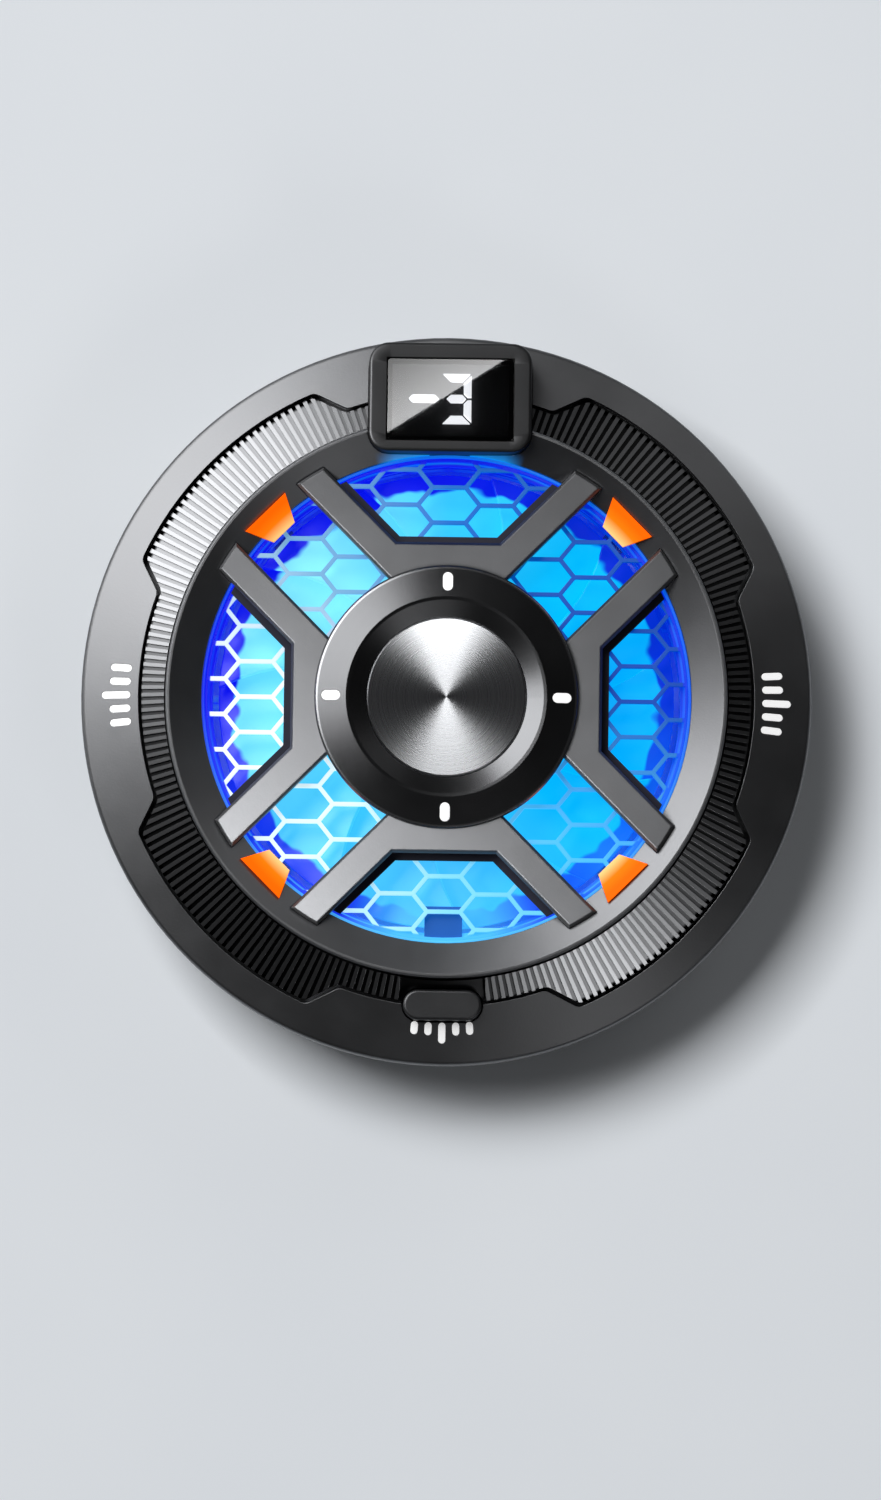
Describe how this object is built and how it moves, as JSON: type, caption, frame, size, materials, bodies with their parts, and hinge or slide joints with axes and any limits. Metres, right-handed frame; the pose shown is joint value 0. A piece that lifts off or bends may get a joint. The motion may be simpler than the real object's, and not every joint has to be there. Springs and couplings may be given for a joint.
{
  "type": "phone cooling fan",
  "caption": "Round magnetic phone cooling fan: cold plate and magnet ring behind, finned heat sink and blue-lit fan under a honeycomb grille and X guard, small display, push button.",
  "frame": {"origin": "middle of the face that lies on the phone", "axes": "+Z out through the grille, +Y to the display (the top as one reads it), +X to the reader's right"},
  "size_m": [0.066, 0.066, 0.0192],
  "materials": {
    "shell_black": "fine moulded grain",
    "grip_silicone": "matte silicone",
    "magnet_nickel": "nickel plated",
    "steel_sheet": "pressed sheet",
    "aluminium": "milled",
    "ceramic": "alumina ceramic",
    "pellet_grey": "sintered",
    "lead_red": "insulated wire",
    "lead_white": "insulated wire",
    "foam_grey": "closed-cell foam",
    "chip_black": "moulded resin",
    "screw_steel": "plated",
    "motor_black": "moulded",
    "board_green": "solder mask",
    "thrust_ivory": "smooth",
    "bush_bronze": "sintered bronze",
    "core_steel": "stacked laminations",
    "copper": "enamelled wire",
    "shaft_steel": "ground",
    "ferrite": "bonded ferrite",
    "fan_blue": "translucent, lit from its edge",
    "duct_blue": "translucent, lit",
    "board_white": "white solder mask",
    "lamp_lens": "clear resin",
    "guide_clear": "frosted, lit",
    "clip_blue": "moulded",
    "grille_cyan": "clear, lit from behind",
    "carrier_navy": "smooth",
    "guard_grey": "satin paint",
    "bezel_graphite": "satin metallic paint",
    "rib_graphite": "satin metallic paint",
    "cover_graphite": "satin metallic paint",
    "mark_white": "printed",
    "hub_graphite": "satin metallic paint",
    "badge_spun": "spun",
    "accent_orange": "satin",
    "frame_graphite": "satin paint",
    "digit_white": "lit",
    "window_smoke": "smoked, polished",
    "pin_gold": "gold plated",
    "part_tan": "ceramic and ferrite",
    "button_graphite": "satin paint"
  },
  "bodies": {
    "housing": {"rear_shell": "shell_black", "grip_pad": "grip_silicone", "magnet_ring": "magnet_nickel", "magnet_shield": "steel_sheet", "tact_switch": "steel_sheet", "power_socket": "steel_sheet", "cold_plate": "aluminium", "heat_sink": "aluminium", "tec_cold_ceramic": "ceramic", "tec_hot_ceramic": "ceramic", "tec_pellets": "pellet_grey", "tec_leads": "lead_red", "fan_leads": "lead_white", "foam_gasket": "foam_grey", "temp_sensor": "chip_black", "control_chip": "chip_black", "socket_tongue": "chip_black", "display_tray": "chip_black", "sink_screws": "screw_steel", "case_screws": "screw_steel", "motor_base": "motor_black", "motor_board": "board_green", "main_board": "board_green", "thrust_pad": "thrust_ivory", "bearing_bush": "bush_bronze", "stator_core": "core_steel", "stator_windings": "copper", "fan_duct": "duct_blue", "light_board": "board_white", "lamps": "lamp_lens", "light_guide": "guide_clear", "wire_clip": "clip_blue", "honeycomb_grille": "grille_cyan", "grille_carrier": "carrier_navy", "guard_frame": "guard_grey", "bezel_ring": "bezel_graphite", "ribbed_ring": "rib_graphite", "front_cover": "cover_graphite", "flange_marks": "mark_white", "hub_marks": "mark_white", "hub_cap": "hub_graphite", "hub_badge": "badge_spun", "accent_tabs": "accent_orange", "display_frame": "frame_graphite", "display_digits": "digit_white", "display_glass": "window_smoke", "display_pins": "pin_gold", "board_parts": "part_tan"},
    "rotor": {"shaft": "shaft_steel", "rotor_yoke": "steel_sheet", "rotor_magnet": "ferrite", "impeller": "fan_blue"},
    "button": {"button_cap": "button_graphite", "switch_plunger": "chip_black"}
  },
  "joints": [
    {"name": "fan_spin", "type": "hinge", "parent": "housing", "child": "rotor", "pos_m": [0, 0, 0.0116], "axis": [0, 0, 1], "continuous": true},
    {"name": "button_press", "type": "slide", "parent": "housing", "child": "button", "axis": [0, 0, -1], "range_m": [0, 0.0005], "stiffness_N_per_m": 1500, "springref_m": -0.0004}
  ]
}
